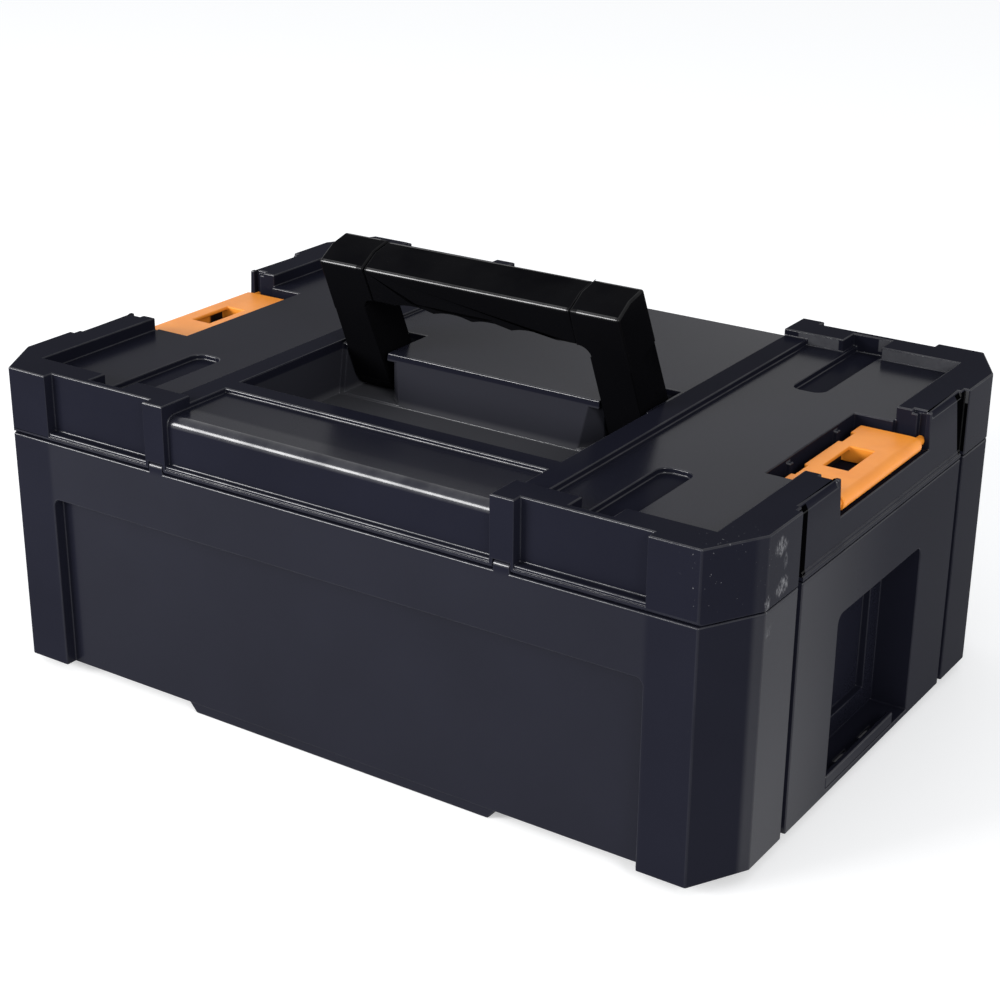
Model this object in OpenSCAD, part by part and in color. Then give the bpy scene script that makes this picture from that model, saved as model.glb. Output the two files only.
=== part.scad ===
// Stackable hard tool case: tub, hinged lid with a carrying handle in a well,
// two swing-out latches that lock a second case on top, and two front latches.
// Millimetres, +Z up, +X along the long side, -Y towards the hinge side.
// The origin is the middle of the case on the underside of its foot.

/* [Case] */
// Overall width along the long side
case_w = 440; // [400:1:520]
// Overall depth of tub and lid
case_d = 315; // [290:1:360]
// Height of the tub from the underside of its corner posts to the parting line
base_h = 129.7; // [124:0.1:200]
// Height of the lid from the parting line to the top of its rim
lid_h = 35.8; // [34.5:0.1:45]
// Drop of the foot below the corner posts, which seats in the lid of a case below
foot_h = 6; // [3:0.1:7]
// Thickness of the moulded walls
wall = 3; // [2:0.1:3.4]
// Length of a corner chamfer along the long side
corner_w = 16.7; // [10:0.1:22]
// Length of a corner chamfer along the short side
corner_d = 29.7; // [20:0.1:34]
// Open seam between tub and lid
seam = 0.4; // [0.3:0.05:1]
// Thickness of the dust lip that stands inside the seam
lip_t = 1.5; // [1:0.1:2]
// Height of the lip's root below the parting line
lip_root = 4; // [3:0.5:6]
// Slope of the ends of the foot
foot_slope = 5; // [2:0.5:8]
// Gap between the foot and the tub's long sides
foot_inset = 1; // [0.5:0.5:4]

/* [Long sides] */
// Width of the middle field between the two pillars
centre_w = 194; // [186:1:200]
// Width of a pillar beside the middle field
pillar_w = 13; // [8:0.1:16]
// Width of a corner post up to its chamfer
post_w = 25.8; // [18:0.1:32]
// Depth of the recessed panels beside the pillars
panel_depth = 5.4; // [4.8:0.1:6.5]
// Depth of the recessed middle field
centre_depth = 3.4; // [2:0.1:4.5]
// Radius of the rounded top edge of the middle field
edge_r = 5; // [2:0.1:8]
// Height of the recessed tub panel, from the underside of the posts
tub_panel_h = 97.5; // [80:0.5:99]
// Depth of the recessed tub panel
tub_panel_depth = 6.4; // [3:0.1:8]
// Radius of the top corners of the tub panel
tub_panel_r = 4; // [1:0.5:10]
// Depth of the shallow panel between the grooves of the lid's short sides
side_panel_depth = 1.2; // [0.5:0.1:2]
// Lean of that panel towards its top
side_lean = 1.7; // [0:0.1:1.7]
// Setback of the bevel along the top of that panel
side_bevel = 2; // [0.5:0.1:3]
// Height of the bevel along the top of that panel
side_bevel_h = 3.5; // [1:0.1:5]
// Height of the lower step of the lid's bead
bead_step_h = 2.6; // [2:0.1:3.4]
// Setback of the upper step of the lid's bead
bead_step = 0.7; // [0.3:0.1:1]
// How far the bumper ribs of the opening side stand out
bumper_out = 4; // [2:0.1:6]
// Width of a bumper rib
bumper_w = 15.5; // [8:0.5:20]
// Drop of the lid's bumper ribs below the rim
bumper_drop = 1.5; // [0.5:0.1:4]

/* [Lid top] */
// Width of the raised rim along the short sides
rim_side = 21; // [16:0.5:24]
// Width of the raised rim along the hinge side
rim_hinge = 21; // [16:0.5:28]
// Width of the raised rim along the opening side
rim_open = 24; // [18:0.5:30]
// Depth of the recessed fields below the rim
field_drop = 7; // [6:0.1:8]
// Width of the long rails beside the middle
rail_w = 14; // [10:0.5:18]
// Rise of the rails above the fields
rail_rise = 3.2; // [1:0.1:5]
// Reach of a pillar block beyond its pillar
block_reach = 22.5; // [16:0.5:26]
// Width of the gaps in the rim
gap_w = 22.2; // [19:0.1:24]
// Thickness of the thin wall outside a gap
gap_wall = 4.5; // [3.5:0.1:6]
// Width of the long slots in the fields
slot_w = 18; // [12:0.5:19]
// Length of the long slots from the rim
slot_l = 68; // [40:1:80]
// Depth of the long slots below the fields
slot_depth = 3; // [1:0.1:4]
// Drop of the middle field's front strip below the rim
strip_drop = 6.3; // [4:0.1:8]
// Rise of the step in front of the well
step_rise = 2.5; // [1:0.1:3.5]
// Width of the step in front of the well
step_w = 12; // [8:0.5:20]
// Drop of the middle field behind the well below the rim
rear_drop = 5.5; // [4:0.1:8]
// Length of the bevel at the opening edge of the middle field
bevel_l = 16; // [8:0.5:24]
// Drop of the bevel
bevel_drop = 6; // [2:0.1:8]

/* [Handle well] */
// Distance of the well's front edge from the middle of the case
well_front = 98; // [94:0.5:104]
// Distance of the top of the well's rear wall from the middle of the case
well_rear = 13; // [12:0.5:18]
// How far that wall comes forward down to its foot
rear_draft = 4.5; // [1:0.5:6]
// Height of the well's floor above the parting line
well_floor = 2.3; // [1:0.1:3]
// Gap between the inner side of a leg and the inner wall of its pocket
pocket_gap = 2.7; // [1.5:0.1:4]
// Depth of a leg pocket behind the handle's pivot
pocket_back = 18.9; // [17:0.1:24]
// Gap between a leg and the floor of its pocket
foot_gap = 0.4; // [0.3:0.1:1.5]
// Chamfer of the corners of the block between the leg pockets
block_chamfer = 5.8; // [4:0.1:10]
// Thickness of the ledge that covers the chamfered corners
ledge_t = 4.5; // [2:0.1:6]

/* [Side hollows] */
// Width of the hollow in each short side
hollow_w = 97; // [80:1:120]
// Height of the hollow from the underside of the posts
hollow_h = 96; // [70:0.5:104]
// Depth of the hollow
hollow_depth = 20; // [12:0.5:26]
// Radius of the hollow's top corners
hollow_r = 5; // [1:0.5:12]
// Extra depth of the sunken field in the hollow
hollow_sunk = 4; // [1:0.5:6]
// Width of the frame round the sunken field
hollow_frame = 12; // [6:0.5:20]
// Thickness of the shelf at the bottom of the hollow
shelf_t = 3.5; // [2.5:0.1:6]
// Height of the upstand along the shelf's outer edge
upstand_h = 10; // [5:0.5:14]
// Width of the open notch beside the upstand
upstand_notch = 18; // [8:0.5:30]
// Length of each slot in the shelf
shelf_slot_l = 14; // [8:0.5:18]
// Width of each slot in the shelf
shelf_slot_w = 3.4; // [2.5:0.1:5]
// Distance between the middles of the two slots
shelf_slot_pitch = 29; // [22:0.5:40]
// Distance of the slots from the upstand
shelf_slot_in = 5.5; // [4:0.5:9]
// Distance from the middle of the side to an upright groove
groove_y = 91.5; // [80:0.5:100]
// Width of the upright grooves
groove_w = 4.5; // [3:0.1:6]
// Depth of the upright grooves
groove_depth = 3; // [1:0.1:4]

/* [Lid hinge] */
// Outer radius of the hinge barrel, which is also half the height of the lid's bead
barrel_r = 2.2; // [2:0.05:2.6]
// Radius of the hinge rod
rod_r = 1; // [0.8:0.05:1.1]
// Width of a tub knuckle
knuckle_w = 9; // [6:0.5:12]
// Side clearance of a knuckle
knuckle_gap = 0.3; // [0.2:0.05:0.6]
// Distance of the rod's ends from the ends of the long side
rod_in = 20; // [19:0.5:60]

/* [Stack latches] */
// Length of a stack latch along the side
stack_len = 90; // [70:1:92]
// Radius of the nose that turns round the pivot
nose_r = 4.2; // [3.5:0.1:4.6]
// Reach of the plate from the pivot
stack_reach = 29; // [24:0.5:31]
// Distance of the pivot from the lid's side
stack_inset = 7.5; // [5:0.1:9]
// Depth of the plate's top below the fields
stack_drop = 4.1; // [2:0.1:5]
// Gap between the plate's inner edge and the wall of its bay
bay_gap = 5.2; // [4:0.1:8]
// Rise of the bay's outer sill above its floor
sill_rise = 1; // [0.5:0.1:2]
// Length of the window in the plate
window_l = 30; // [20:1:50]
// Width of the window in the plate
window_w = 13; // [8:0.5:14]
// Shift of the window from the middle of the plate towards the pivot
window_shift = 0; // [0:0.5:2]
// Thickness of the plate along the long edges of the window
window_skin = 2.2; // [1.5:0.1:4]
// Reach of the hollow under those edges
window_hollow = 4; // [1:0.5:5]
// Radius of the trunnions
trunnion_r = 2.4; // [1.8:0.1:3]
// Length of a trunnion
trunnion_l = 8.8; // [7.2:0.1:9.5]
// End clearance of a trunnion
trunnion_gap = 0.4; // [0.3:0.05:0.6]
// Width of the opening that a trunnion snaps through, as a share of its thickness
snap_share = 0.85; // [0.8:0.01:0.95]
// Gap between the end of the latch and the end of its bay
bay_end = 6.5; // [5.5:0.1:6.8]
// Width of the jog in the ends of the bay
bay_jog = 2.5; // [1:0.5:4]
// Width of the finger notches in the plate's inner edge
notch_w = 14; // [8:0.5:20]
// Depth of the finger notches
notch_depth = 2; // [1:0.1:3]
// Distance of the finger notches from the middle
notch_y = 26; // [20:0.5:32]
// Width of the lugs of the lid over the finger notches
lug_w = 4; // [2:0.5:8]
// Reach of the lugs into the bay
lug_reach = 2.5; // [1:0.1:4.5]
// Drop of the lugs below the fields
lug_drop = 2; // [1:0.5:5]
// Width of the notch in the rim's ends beside the bay
end_notch_w = 7; // [5:0.5:10]
// Depth of that notch
end_notch_drop = 1.8; // [0.5:0.1:4]

/* [Front latches] */
// Width of a front latch
catch_w = 54; // [40:1:60]
// Gap between the sides of a front latch and its bay
catch_side = 1; // [0.5:0.1:2]
// Gap between the underside of a front latch and its bay
catch_under = 1.2; // [0.8:0.1:3]
// Distance of its pivot below the parting line
catch_drop = 20; // [14:0.5:21]
// Outer radius of its barrel
catch_r = 2.4; // [2:0.05:2.5]
// Radius of its pin
catch_pin_r = 1.2; // [0.8:0.05:1.4]
// Length of its pin in each side wall
catch_pin_in = 2.4; // [1.5:0.1:2.8]
// How far the lid's catch stands out of the panel
catch_out = 2.2; // [1.5:0.1:2.4]
// Height of the hooked lip
catch_lip = 3.2; // [2:0.1:5]
// Height of the finger tab above the lip
catch_tab = 4.5; // [3:0.1:8]
// Width of the finger tab
catch_tab_w = 38; // [20:1:50]
// How far the finger tab stands out of the latch
catch_tab_out = 3; // [1:0.1:5]
// Height of the sloping underside of the finger tab
catch_tab_slope = 6; // [2:0.5:8]
// How far a released front latch leans out, in degrees
catch_lean = 9; // [7:0.5:14]

/* [Handle] */
// Length from the pivot to the top of the grip
handle_l = 80.5; // [70:0.5:84]
// Width over the legs
handle_w = 184; // [180:0.5:185]
// Depth of the grip and the legs, front to back
grip_d = 25.8; // [20:0.1:26]
// Height of the grip
grip_h = 24; // [20:0.5:26]
// Rise of the ridge along the top of grip and caps
grip_crown = 1.8; // [0.5:0.1:3]
// Setback of the grip behind the faces of the caps
grip_set = 0.5; // [0.2:0.1:1]
// Radius of the top edges of grip and caps
grip_r = 1.8; // [1:0.1:3]
// Length of a cap from the outer side of its leg to the seam with the grip
cap_len = 29; // [27:0.5:32]
// Height of the crease in a leg's outer side above the pivot
crease_h = 46.5; // [30:0.5:52]
// How far a leg's outer side leans in from the crease to the top
crease_in = 0.8; // [0.3:0.1:2]
// Thickness of a leg
leg_t = 22.5; // [18:0.5:23.5]
// Largest radius of the inner corner between leg and cap
corner_r = 6; // [2:0.5:8]
// Radius of the round foot of a leg
foot_r = 12.8; // [10:0.1:13]
// Height of the pivot above the parting line
pivot_h = 16.9; // [15:0.1:18]
// Distance of the pivot behind the middle of the case
pivot_y = 4; // [2:0.5:5]
// Radius of the pivot pins
pivot_r = 3; // [2:0.1:4]
// Radius of the head of a pivot pin
pivot_head_r = 5.5; // [4.5:0.1:7]
// Thickness of the head of a pivot pin
pivot_head_t = 2.2; // [1:0.1:3]
// Lean of the handle towards the hinge side, in degrees
handle_lean = 23.5; // [0:0.5:60]
// Number of finger scallops under the grip
scallops = 4; // [2:1:5]
// Pitch of the finger scallops
scallop_pitch = 24; // [18:0.5:25]
// Depth of the finger scallops
scallop_depth = 1.8; // [0.5:0.1:2.5]
// Length of the tenon that joins the grip to a cap
tenon_l = 16; // [10:0.5:18]
// Height and depth of the tenon
tenon_s = 15; // [10:0.5:17]
// Radius of a cap screw
screw_r = 1.8; // [1:0.1:2.5]
// Radius of a cap screw's head
screw_head_r = 3.6; // [2.8:0.1:4.5]
// Height of a cap screw's head
screw_head_t = 2.2; // [1:0.1:3]
// Depth of the seat of a screw's head in the cap
screw_seat = 3.5; // [2.5:0.1:5]
// Length of a cap screw
screw_len = 14; // [8:0.5:18]

/* [Fits] */
// Radial clearance of a pin in its bore
pin_gap = 0.06; // [0.02:0.01:0.1]
// Gap between pieces that move past each other
move_gap = 0.3; // [0.25:0.05:0.6]
// Gap round the handle in its well
handle_gap = 1.5; // [0.8:0.1:2.5]
// Radial clearance between a tenon, a screw or its head and the cap
cap_gap = 0.05; // [0.02:0.01:0.1]

/* [Hidden] */
$fn = 64;

black = [0.09, 0.10, 0.13];
deep_black = [0.05, 0.05, 0.06];
orange = [0.94, 0.58, 0.22];
steel = [0.70, 0.71, 0.73];

// Reach of a cut past the surface it opens through
past = 10;
// Depth to which two fused solids, or two cuts, run into each other
merge = 1;
half_w = case_w / 2;
half_d = case_d / 2;
parting = foot_h + base_h;
bead_h = 2 * barrel_r;
// Positions along the long side
centre_x = centre_w / 2;
panel_in = centre_x + pillar_w;
panel_out = half_w - corner_w - post_w;
panel_mid = (panel_in + panel_out) / 2;
rail_out = centre_x + rail_w;
gap_in = panel_in + block_reach;
gap_out = gap_in + gap_w;
field_out = half_w - rim_side;
// Levels of the lid above the parting line
field_z = lid_h - field_drop;
rail_z = field_z + rail_rise;
strip_z = lid_h - strip_drop;
step_z = strip_z + step_rise;
rear_z = lid_h - rear_drop;
// Hinge axis, with the barrel flush with the side and the bottom of the lid
hinge_y = -half_d + barrel_r;
hinge_z = parting + barrel_r;
// Middle of a tub knuckle, which stands in a pillar of the lid, and the rod's ends
knuckle_x = centre_x + pillar_w / 2;
rod_end = half_w - rod_in;
// Gap between the rod's right end and the end of its bore
rod_short = 1;
// Dust lip, which ends under the recessed panels of the lid
lip_h = bead_h - wall - seam / 2;
// Setback of the dust lip's outer side, clear of the stepped wall of the lid
lip_in = wall + bead_step + move_gap;
// Handle pivot, leg pockets, and the seam between grip and cap
pivot_z = parting + pivot_h;
pocket_out = handle_w / 2 + handle_gap;
pocket_in = handle_w / 2 - leg_t - pocket_gap;
pocket_floor = pivot_h - max(foot_r, grip_d / 2) - foot_gap;
rear_foot = well_rear + rear_draft;
grip_half = handle_w / 2 - cap_len;
// Stack latch pivot and its bay
stack_x = half_w - stack_inset;
stack_z = field_z - stack_drop - nose_r;
bay_floor = stack_z - nose_r - move_gap;
bay_in = stack_x - stack_reach - bay_gap;
bay_half = stack_len / 2 + bay_end;
bay_sill = bay_floor + sill_rise;
// Front latch pivot
catch_y = half_d - catch_r;
catch_z = parting - catch_drop;
catch_bay = catch_w / 2 + catch_side;
catch_plate_in = half_d - panel_depth + catch_out + move_gap;

// Box between two corners
module span(x0, x1, y0, y1, z0, z1) {
    translate([x0, y0, z0]) cube([x1 - x0, y1 - y0, z1 - z0]);
}

// Both mirror images across the X = 0 plane
module both_x() {
    children();
    mirror([1, 0, 0]) children();
}

// Both mirror images across the Y = 0 plane
module both_y() {
    children();
    mirror([0, 1, 0]) children();
}

// Rod along X between two positions
module rod_x(x0, x1, r) {
    translate([x0, 0, 0]) rotate([0, 90, 0]) cylinder(r = r, h = x1 - x0);
}

// Rod along Y between two positions
module rod_y(y0, y1, r) {
    translate([0, y0, 0]) rotate([-90, 0, 0]) cylinder(r = r, h = y1 - y0);
}

// Upright rectangle with round top corners, standing on its base line
module arch(w, h, r) {
    translate([-w / 2, 0]) square([w, h - r]);
    translate([-w / 2 + r, 0]) square([w - 2 * r, h]);
    for (s = [-1, 1]) translate([s * (w / 2 - r), h - r]) circle(r);
}

// Upright rectangle with round top corners under a low ridge, standing on its base line
module crowned(w, h, rise, r) {
    x = w / 2 - r;
    z = h - rise - r;
    translate([-w / 2, 0]) square([w, z]);
    polygon([[-x, 0], [x, 0], [x, z + r], [0, h], [-x, z + r]]);
    for (s = [-1, 1]) translate([s * x, z]) circle(r);
}

// Extrusion along X of a profile drawn in Y and Z
module along_x(x0, x1) {
    translate([x0, 0, 0]) rotate([90, 0, 90]) linear_extrude(x1 - x0) children();
}

// Extrusion along Y of a profile drawn in X and Z
module along_y(y0, y1) {
    translate([0, y1, 0]) rotate([90, 0, 0]) linear_extrude(y1 - y0) children();
}

// Where the chamfer line, moved inwards by t, meets the sides moved in alike
chamfer_l = sqrt(corner_w * corner_w + corner_d * corner_d);
function chamfer_x(t) = half_w - corner_w - t * (chamfer_l - corner_w) / corner_d;
function chamfer_y(t) = half_d - corner_d - t * (chamfer_l - corner_d) / corner_w;

// Octagonal outline of the case, moved inwards by t
module outline(t = 0) {
    x = half_w - t;
    y = half_d - t;
    cx = chamfer_x(t);
    cy = chamfer_y(t);
    polygon([
        [cx, y], [x, cy], [x, -cy], [cx, -y],
        [-cx, -y], [-x, -cy], [-x, cy], [-cx, y]
    ]);
}

// ---- Tub ----

// Outer recesses of the tub, grown by g on every side, above its post underside
module tub_recesses(g = 0) {
    both_y() along_y(half_d - tub_panel_depth - g, half_d + past)
        translate([0, -past]) arch(2 * (panel_out + g), tub_panel_h + g + past, tub_panel_r + g);
    both_x() both_y()
        span(half_w - groove_depth - g, half_w + past, groove_y - g, groove_y + groove_w + g, -past, base_h + past);
    both_x() along_x(half_w - hollow_depth - g, half_w + past)
        translate([0, shelf_t - g])
            arch(hollow_w + 2 * g, hollow_h - shelf_t + 2 * g, hollow_r + g);
    both_x() along_x(half_w - hollow_depth - hollow_sunk - g, half_w)
        translate([0, shelf_t + hollow_frame - g])
            arch(hollow_w - 2 * hollow_frame + 2 * g, hollow_h - shelf_t - 2 * hollow_frame + 2 * g, hollow_r + g);
    // Bays of the front latches
    both_x() span(
        panel_mid - catch_bay - g, panel_mid + catch_bay + g,
        half_d - panel_depth - g, half_d + past,
        base_h - catch_drop - catch_r - catch_under - g, base_h + past
    );
}

// Foot under the middle field, with sloping ends
module foot(t = 0) {
    y = half_d - tub_panel_depth - foot_inset - t;
    along_y(-y, y) polygon([
        [-centre_x + t, 0], [centre_x - t, 0],
        [centre_x - foot_slope - t, -foot_h], [-centre_x + foot_slope + t, -foot_h]
    ]);
}

// Ring just inside the walls, standing in the seam at the sides and the opening side
module dust_lip() {
    difference() {
        translate([0, 0, base_h - lip_root]) linear_extrude(lip_root + lip_h) difference() {
            outline(wall - merge);
            outline(lip_in + lip_t);
        }
        translate([0, 0, base_h - seam]) linear_extrude(past) difference() {
            outline(-past);
            outline(lip_in);
        }
        span(-half_w, half_w, -half_d, -half_d + corner_d, 0, base_h + past);
        both_x() both_y() span(
            half_w - groove_depth - wall - move_gap, half_w,
            groove_y - wall - merge, groove_y + groove_w + wall + merge, 0, base_h + past
        );
        both_x() span(
            panel_mid - catch_bay - wall, panel_mid + catch_bay + wall,
            half_d - panel_depth - wall - move_gap, half_d, 0, base_h + past
        );
    }
}

// Upstands along the outer edges of the hollows' shelves, each with one open end
module shelf_upstands() color(black) both_x() span(
    half_w - wall, half_w, -hollow_w / 2, hollow_w / 2 - upstand_notch,
    foot_h + shelf_t, foot_h + upstand_h
);

// Tub knuckle round the hinge axis, with its web down to the tub's wall
module tub_knuckle() {
    translate([knuckle_x, hinge_y, hinge_z]) {
        rod_x(-knuckle_w / 2, knuckle_w / 2, barrel_r);
        span(-knuckle_w / 2, knuckle_w / 2, -barrel_r, barrel_r, -barrel_r - seam - merge, 0);
    }
}

module base_shell() color(black) difference() {
    union() {
        translate([0, 0, foot_h]) {
            difference() {
                union() {
                    linear_extrude(base_h - seam) outline();
                    foot();
                    // Bumper ribs of the opening side
                    both_x() span(
                        panel_out, panel_out + bumper_w, half_d - merge, half_d + bumper_out, 0, base_h - seam
                    );
                }
                tub_recesses();
                difference() {
                    union() {
                        translate([0, 0, wall]) linear_extrude(base_h) outline(wall);
                        translate([0, 0, wall]) foot(wall);
                    }
                    tub_recesses(wall);
                }
                both_x() for (s = [-1, 1]) span(
                    half_w - wall - shelf_slot_in, half_w - wall - shelf_slot_in + shelf_slot_w,
                    s * shelf_slot_pitch / 2 - shelf_slot_l / 2,
                    s * shelf_slot_pitch / 2 + shelf_slot_l / 2, -past, shelf_t + past
                );
            }
            dust_lip();
        }
        both_x() tub_knuckle();
    }
    // Bore of the hinge rod and of the front latch pins
    translate([0, hinge_y, hinge_z]) rod_x(-half_w, half_w, rod_r + pin_gap);
    both_x() translate([panel_mid, catch_y, catch_z])
        rod_x(-catch_bay - catch_pin_in, catch_bay + catch_pin_in, catch_pin_r + pin_gap);
}

// ---- Lid ----

// Outer face of the leaning panel of a short side at height z
function side_at(z) = half_w - side_panel_depth - side_lean * (z - bead_h) / (lid_h - bead_h);

// Recesses of the lid's top and sides, grown by g, above the parting line
module lid_recesses(g = 0) {
    top = lid_h + past;
    inner_hinge = -half_d + rim_hinge - g;
    inner_open = half_d - rim_open + g;
    // Recessed fields beside the rails, and the rails between the pillar blocks
    both_x() span(rail_out - g, field_out + g, inner_hinge, inner_open, field_z - g, top);
    both_x() span(centre_x - g - merge, rail_out + g, inner_hinge, inner_open, rail_z - g, top);
    // Gaps in the rim behind the thin walls, and the long slots
    both_x() span(
        gap_in - g, gap_out + g, -half_d + panel_depth + gap_wall - g,
        half_d - panel_depth - gap_wall + g, field_z - g, top
    );
    both_x() slots(g);
    // Middle field: front strip, step, rear part with its bevel
    middle = centre_x + g;
    span(-middle, middle, -half_d - past, -well_front - step_w + g, strip_z - g, top);
    span(-middle, middle, -well_front - step_w, -well_rear, step_z - g, top);
    along_x(-middle, middle) polygon([
        [-well_rear, rear_z - g],
        [half_d - centre_depth - bevel_l, rear_z - g],
        [half_d - centre_depth, rear_z - bevel_drop - g],
        [half_d + past, rear_z - bevel_drop - g],
        [half_d + past, top], [-well_rear, top]
    ]);
    both_y() span(-middle, middle, half_d - centre_depth - g, half_d + past, bead_h - g, top);
    // Side panels above the bead
    both_x() both_y() span(
        panel_in - g, panel_out + g, half_d - panel_depth - g, half_d + past, bead_h - g, top
    );
    // Upper step of the bead along the middle field, the side panels and the short sides
    both_y() span(-middle, middle, half_d - bead_step - g, half_d + past, bead_step_h - g, top);
    both_x() both_y() span(
        panel_in - g, panel_out + g, half_d - bead_step - g, half_d + past, bead_step_h - g, top
    );
    both_x() span(
        half_w - bead_step - g, half_w + past, -groove_y - merge, groove_y + merge, bead_step_h - g, top
    );
    // Upright grooves
    both_x() both_y() span(
        half_w - groove_depth - g, half_w + past, groove_y - g, groove_y + groove_w + g, -past, top
    );
    // Leaning panel between the grooves, above the bead
    both_x() along_y(-groove_y - merge, groove_y + merge) polygon([
        [side_at(bead_h) - g, bead_h - g], [side_at(lid_h) - g, lid_h], [side_at(lid_h) - g, top],
        [half_w + past, top], [half_w + past, bead_h - g]
    ]);
    // Bevel along the panel's top edge, which ends beside the latch's bay
    both_x() both_y() along_y(bay_half + wall - g, groove_y) polygon([
        [side_at(lid_h - side_bevel_h) - g, lid_h - side_bevel_h],
        [side_at(lid_h) - side_bevel - g, lid_h], [side_at(lid_h) - side_bevel - g, top],
        [half_w + past, top], [half_w + past, lid_h - side_bevel_h]
    ]);
    // The front latches close over a catch that is set back from the bead
    both_x() span(
        panel_mid - catch_bay - g, panel_mid + catch_bay + g,
        half_d - panel_depth + catch_out - g, half_d + past, -past, top
    );
    handle_well(g);
    both_x() latch_bay(g);
}

// Long slots that run from the rim gaps towards the middle
module slots(g) {
    slot_x = (gap_in + gap_out) / 2;
    for (s = [-1, 1]) {
        rim = s < 0 ? half_d - rim_hinge : half_d - rim_open;
        end = rim - slot_l;
        z = field_z - slot_depth - g;
        scale_y = s < 0 ? [0, 1, 0] : [0, 0, 0];
        mirror(scale_y) {
            span(
                slot_x - slot_w / 2 - g, slot_x + slot_w / 2 + g,
                end + slot_w / 3, half_d - panel_depth - gap_wall + g, z, lid_h
            );
            span(
                slot_x - slot_w / 6, slot_x + slot_w / 6, end - g, end + slot_w, z, lid_h
            );
            for (c = [-1, 1])
                translate([slot_x + c * slot_w / 6, end + slot_w / 3, z])
                    cylinder(r = slot_w / 3 + g, h = lid_h - z);
        }
    }
}

// Well of the carrying handle with a pocket for each leg
module handle_well(g) {
    top = lid_h + past;
    along_x(-centre_x - g, centre_x + g) polygon([
        [-well_front - g, well_floor - g], [-rear_foot + g, well_floor - g],
        [-well_rear + g, rear_z], [-well_rear + g, top], [-well_front - g, top]
    ]);
    both_x() span(
        pocket_in - g, pocket_out + g, -rear_foot, pivot_y + pocket_back + g, pocket_floor - g, top
    );
}

// Chamfered corners of the block between the leg pockets, cut below its ledge
module block_corners(g) {
    side_y = -well_rear + block_chamfer + g;
    foot_x = pocket_in - block_chamfer - rear_draft - g;
    both_x() translate([0, 0, pocket_floor - g])
        linear_extrude(rear_z - ledge_t - pocket_floor + g) polygon([
            [foot_x, -rear_foot], [pocket_in, side_y], [pocket_in + merge, side_y],
            [pocket_in + merge, -rear_foot]
        ]);
}

// Bay of a stack latch, open to the side and the top
module latch_bay(g) {
    top = lid_h + past;
    jog = bay_half - bay_jog + g;
    span(bay_in - g, field_out + merge, -jog, jog, bay_floor - g, top);
    span(field_out - g, half_w - wall + g, -bay_half - g, bay_half + g, bay_floor - g, top);
    span(half_w - wall, half_w + past, -bay_half - g, bay_half + g, bay_sill - g, top);
}

// Notch in the end of the rim beside a stack latch's bay, up to the trunnion's slot
module end_notch() {
    x = stack_x + trunnion_r * snap_share;
    span(x - end_notch_w, x, bay_half - merge, bay_half + wall, lid_h - end_notch_drop, lid_h + past);
}

// Bearings of the trunnions in the ends of the bay, open at the top to snap in
module trunnion_slots() {
    depth = bay_half - bay_end + trunnion_l + trunnion_gap;
    neck = trunnion_r * snap_share;
    translate([stack_x, 0, stack_z]) {
        rod_y(-depth, depth, trunnion_r + pin_gap);
        span(-neck, neck, -depth, depth, 0, lid_h);
    }
}

// Rounding of the outer bottom edge on the hinge side, concentric with the hinge
module hinge_rounding() {
    difference() {
        span(-half_w, half_w, -half_d - merge, -half_d + barrel_r, -merge, barrel_r);
        translate([0, -half_d + barrel_r, barrel_r]) rod_x(-half_w - past, half_w + past, barrel_r);
    }
}

// Rounded top edge of the middle field on the hinge side
module field_rounding() {
    y = -half_d + centre_depth;
    difference() {
        span(-centre_x, centre_x, y - merge, y + edge_r, strip_z - edge_r, strip_z + merge);
        translate([0, y + edge_r, strip_z - edge_r]) rod_x(-centre_x - past, centre_x + past, edge_r);
    }
}

module lid_shell() color(black) difference() {
    translate([0, 0, parting]) {
        difference() {
            union() {
                linear_extrude(lid_h) outline();
                both_x() span(
                    panel_out, panel_out + bumper_w, half_d - merge, half_d + bumper_out,
                    0, lid_h - bumper_drop
                );
            }
            lid_recesses();
            field_rounding();
            block_corners(0);
            both_x() both_y() end_notch();
            difference() {
                translate([0, 0, -merge]) linear_extrude(lid_h + merge - wall) outline(wall);
                lid_recesses(wall);
                block_corners(wall);
                // Solid bead round the bore of the hinge rod
                span(-half_w, half_w, -half_d, -half_d + bead_h, 0, bead_h);
            }
            hinge_rounding();
            both_x() trunnion_slots();
        }
        // Lugs over the finger notches of the stack latches
        both_x() both_y() span(
            bay_in - merge, bay_in + lug_reach, notch_y - lug_w / 2, notch_y + lug_w / 2,
            bay_floor - merge, field_z - lug_drop
        );
    }
    // Clearance round the tub's knuckles
    both_x() translate([knuckle_x, hinge_y, hinge_z]) {
        c = knuckle_w / 2 + knuckle_gap;
        rod_x(-c, c, barrel_r + move_gap);
        span(-c, c, -past, barrel_r + move_gap, -past, 0);
        span(-c, c, -past, 0, -past, barrel_r + move_gap);
    }
    translate([0, hinge_y, hinge_z]) rod_x(-half_w, rod_end + rod_short, rod_r + pin_gap);
    // Bores of the handle's pivot pins
    both_x() translate([0, pivot_y, pivot_z])
        rod_x(pocket_in - wall - merge, pocket_out + wall + merge, pivot_r + pin_gap);
}

module hinge_rod() color(steel)
    translate([0, hinge_y, hinge_z]) rod_x(-rod_end, rod_end, rod_r);

// ---- Stack latches ----

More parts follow.
